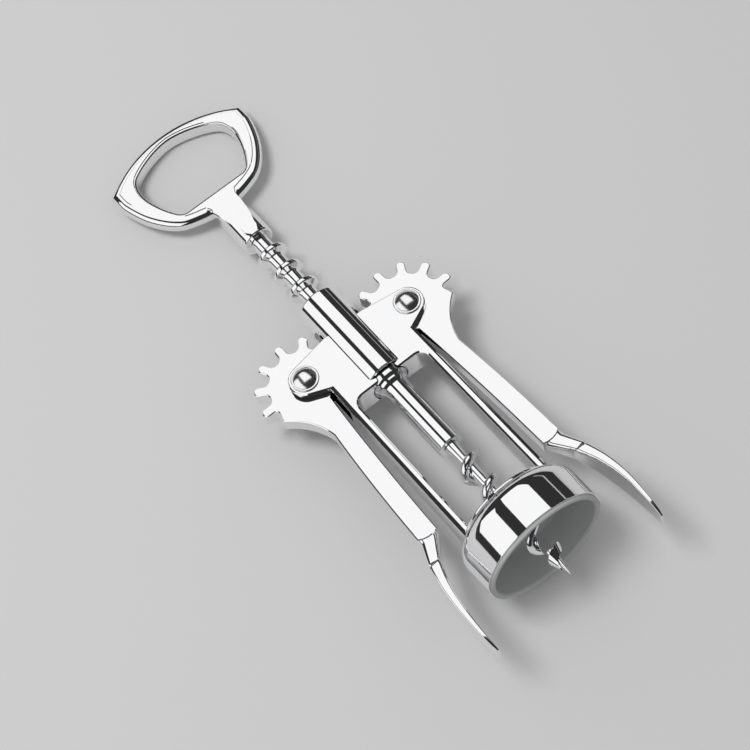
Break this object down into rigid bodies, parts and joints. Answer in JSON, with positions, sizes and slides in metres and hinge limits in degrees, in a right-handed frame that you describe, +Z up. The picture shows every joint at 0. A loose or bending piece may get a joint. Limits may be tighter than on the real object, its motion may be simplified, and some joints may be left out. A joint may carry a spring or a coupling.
{
  "type": "wing corkscrew",
  "caption": "Wing corkscrew with two toothed levers, a ringed rack, an auger worm, a lined bell that sits on the bottle and a cap-lifter ring for a handle.",
  "frame": {"origin": "middle of the part in plan, on the plane it lies on", "axes": "+Y from the bell towards the handle, +Z up from the plane the part lies on, +X to the right lever; the screw axis leans 5.49 degrees down towards the handle"},
  "size_m": [0.0658, 0.1921, 0.0381],
  "materials": {
    "cast_chrome": "polished",
    "drawn_chrome": "polished",
    "turned_chrome": "polished",
    "grey_liner": "matte"
  },
  "bodies": {
    "frame": {"frame_casting": "cast_chrome", "bell": "drawn_chrome", "bell_liner": "grey_liner", "pivot_post_left": "turned_chrome", "pivot_post_right": "turned_chrome", "pivot_rivet_left": "turned_chrome", "pivot_rivet_right": "turned_chrome"},
    "rack": {"rack_sleeve": "turned_chrome"},
    "screw": {"worm": "turned_chrome", "handle": "cast_chrome"},
    "left_lever": {"lever_left": "cast_chrome"},
    "right_lever": {"lever_right": "cast_chrome"}
  },
  "joints": [
    {"name": "rack_slide", "type": "slide", "parent": "frame", "child": "rack", "axis": [0, -0.9954, 0.0957], "range_m": [0, 0.028]},
    {"name": "right_lever_hinge", "type": "hinge", "parent": "frame", "child": "right_lever", "pos_m": [0.0179, -0.00324, 0.01193], "axis": [0, 0.0957, 0.9954], "range_deg": [0, 111.1]},
    {"name": "left_lever_hinge", "type": "hinge", "parent": "frame", "child": "left_lever", "pos_m": [-0.0179, -0.00324, 0.01193], "axis": [0, 0.0957, 0.9954], "range_deg": [-111.1, 0]},
    {"name": "screw_spin", "type": "hinge", "parent": "rack", "child": "screw", "pos_m": [0, 0.04474, 0.00732], "axis": [0, 0.9954, -0.0957], "continuous": true}
  ],
  "couplings": [
    {"joint": "right_lever_hinge", "follows": "rack_slide", "rad_per_m": 69.204},
    {"joint": "left_lever_hinge", "follows": "rack_slide", "rad_per_m": -69.204}
  ]
}
